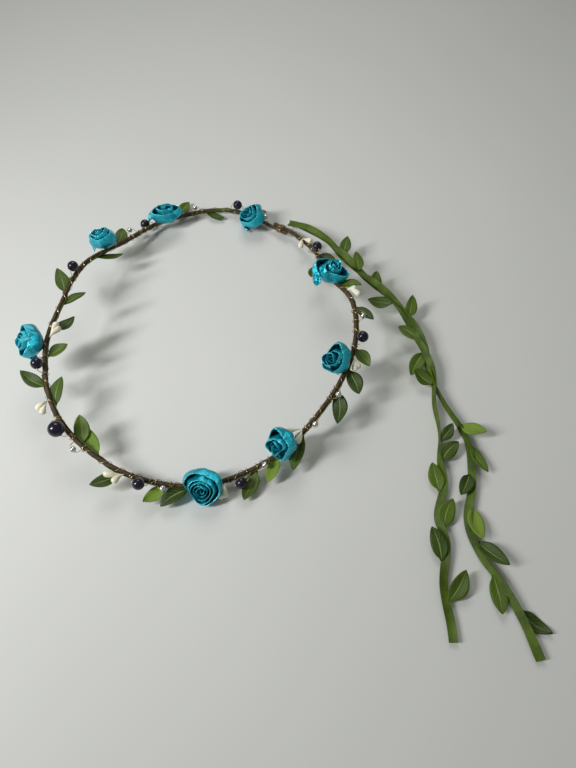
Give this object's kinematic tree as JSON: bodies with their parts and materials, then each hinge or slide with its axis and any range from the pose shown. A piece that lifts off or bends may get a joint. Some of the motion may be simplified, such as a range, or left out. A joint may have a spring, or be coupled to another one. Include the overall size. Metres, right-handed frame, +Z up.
{
  "type": "flower crown",
  "caption": "Bendable wire hair crown wrapped in floral tape, with a leaf vine, satin ribbon roses, pearls, beads and stamen buds on fine wire, and two free vine tails.",
  "frame": {"origin": "middle of the crown's footprint on the table, without the tails", "axes": "+Z up from the table, +Y towards the crown's back, +X to its right, where the tails lie"},
  "size_m": [0.26, 0.2854, 0.0362],
  "materials": {
    "teal_satin": "satin ribbon, bright teal",
    "leaf_satin": "printed satin, dark green with pale veins",
    "floral_tape": "waxed crepe, brown",
    "core_wire": "plain steel wire",
    "gold_wire": "bright champagne gold",
    "pearl_purple": "pearl coat, dark purple",
    "silver_bead": "polished silver",
    "stamen_cream": "cream, slightly glossy buds"
  },
  "bodies": {
    "crown": {"core_wire": "core_wire", "stem_tape": "floral_tape", "end_binding": "gold_wire", "leaf_vine": "leaf_satin", "rose_1": "teal_satin", "rose_2": "teal_satin", "rose_3": "teal_satin", "rose_4": "teal_satin", "rose_5": "teal_satin", "rose_6": "teal_satin", "rose_7": "teal_satin", "rose_8": "teal_satin", "pearl_wire_1": "gold_wire", "pearl_wire_2": "gold_wire", "pearl_wire_3": "gold_wire", "pearl_wire_4": "gold_wire", "pearl_wire_5": "gold_wire", "pearl_wire_6": "gold_wire", "pearl_wire_7": "gold_wire", "pearl_wire_8": "gold_wire", "pearl_wire_9": "gold_wire", "silver_bead_1": "silver_bead", "silver_bead_2": "silver_bead", "silver_bead_3": "silver_bead", "silver_bead_4": "silver_bead", "silver_bead_5": "silver_bead", "silver_bead_6": "silver_bead", "silver_bead_7": "silver_bead", "silver_bead_8": "silver_bead", "silver_bead_9": "silver_bead", "bead_wire_1": "gold_wire", "bead_wire_2": "gold_wire", "bead_wire_3": "gold_wire", "bead_wire_4": "gold_wire", "bead_wire_5": "gold_wire", "bead_wire_6": "gold_wire", "bead_wire_7": "gold_wire", "bead_wire_8": "gold_wire", "bead_wire_9": "gold_wire", "stamen_1": "stamen_cream", "stamen_2": "stamen_cream", "stamen_3": "stamen_cream", "stamen_4": "stamen_cream", "stamen_5": "stamen_cream", "stamen_6": "stamen_cream", "stamen_7": "stamen_cream", "stamen_8": "stamen_cream", "tail_1_root": "leaf_satin", "tail_2_root": "leaf_satin"},
    "pearl_1": {"pearl_1": "pearl_purple"},
    "pearl_2": {"pearl_2": "pearl_purple"},
    "pearl_3": {"pearl_3": "pearl_purple"},
    "pearl_4": {"pearl_4": "pearl_purple"},
    "pearl_5": {"pearl_5": "pearl_purple"},
    "pearl_6": {"pearl_6": "pearl_purple"},
    "pearl_7": {"pearl_7": "pearl_purple"},
    "pearl_8": {"pearl_8": "pearl_purple"},
    "pearl_9": {"pearl_9": "pearl_purple"},
    "tail_1": {"tail_1": "leaf_satin"},
    "tail_2": {"tail_2": "leaf_satin"}
  },
  "joints": [
    {"name": "pearl_1_spin", "type": "hinge", "parent": "crown", "child": "pearl_1", "pos_m": [-0.06471, -0.07483, 0.02169], "axis": [0.6526, -0.7298, -0.2039], "continuous": true},
    {"name": "pearl_2_spin", "type": "hinge", "parent": "crown", "child": "pearl_2", "pos_m": [-0.07973, -0.04063, 0.02809], "axis": [0.1908, -0.9695, -0.1537], "continuous": true},
    {"name": "pearl_3_spin", "type": "hinge", "parent": "crown", "child": "pearl_3", "pos_m": [-0.07338, 0.02424, 0.03014], "axis": [-0.1756, -0.9709, 0.1627], "continuous": true},
    {"name": "pearl_4_spin", "type": "hinge", "parent": "crown", "child": "pearl_4", "pos_m": [-0.0456, 0.0847, 0.00582], "axis": [-0.6436, -0.7434, 0.1823], "continuous": true},
    {"name": "pearl_5_spin", "type": "hinge", "parent": "crown", "child": "pearl_5", "pos_m": [0.01448, 0.10101, 0.00747], "axis": [-0.9488, 0.3159, 0.0061], "continuous": true},
    {"name": "pearl_6_spin", "type": "hinge", "parent": "crown", "child": "pearl_6", "pos_m": [0.06613, 0.0555, 0.01466], "axis": [-0.2974, 0.9195, -0.2572], "continuous": true},
    {"name": "pearl_7_spin", "type": "hinge", "parent": "crown", "child": "pearl_7", "pos_m": [0.08746, -0.02368, 0.02799], "axis": [0.1581, 0.9829, 0.0945], "continuous": true},
    {"name": "pearl_8_spin", "type": "hinge", "parent": "crown", "child": "pearl_8", "pos_m": [0.02542, -0.09675, 0.00663], "axis": [0.9255, 0.3642, 0.1039], "continuous": true},
    {"name": "pearl_9_spin", "type": "hinge", "parent": "crown", "child": "pearl_9", "pos_m": [-0.02377, -0.09882, 0.01071], "axis": [0.9521, -0.2365, -0.1937], "continuous": true},
    {"name": "tail_1_swing", "type": "hinge", "parent": "crown", "child": "tail_1", "pos_m": [0.1264, -0.0522, 0.0042], "axis": [0, 0, 1], "range_deg": [-18, 1.5]},
    {"name": "tail_2_swing", "type": "hinge", "parent": "crown", "child": "tail_2", "pos_m": [0.1329, -0.0522, 0.0034], "axis": [0, 0, 1], "range_deg": [-1.5, 18]}
  ]
}
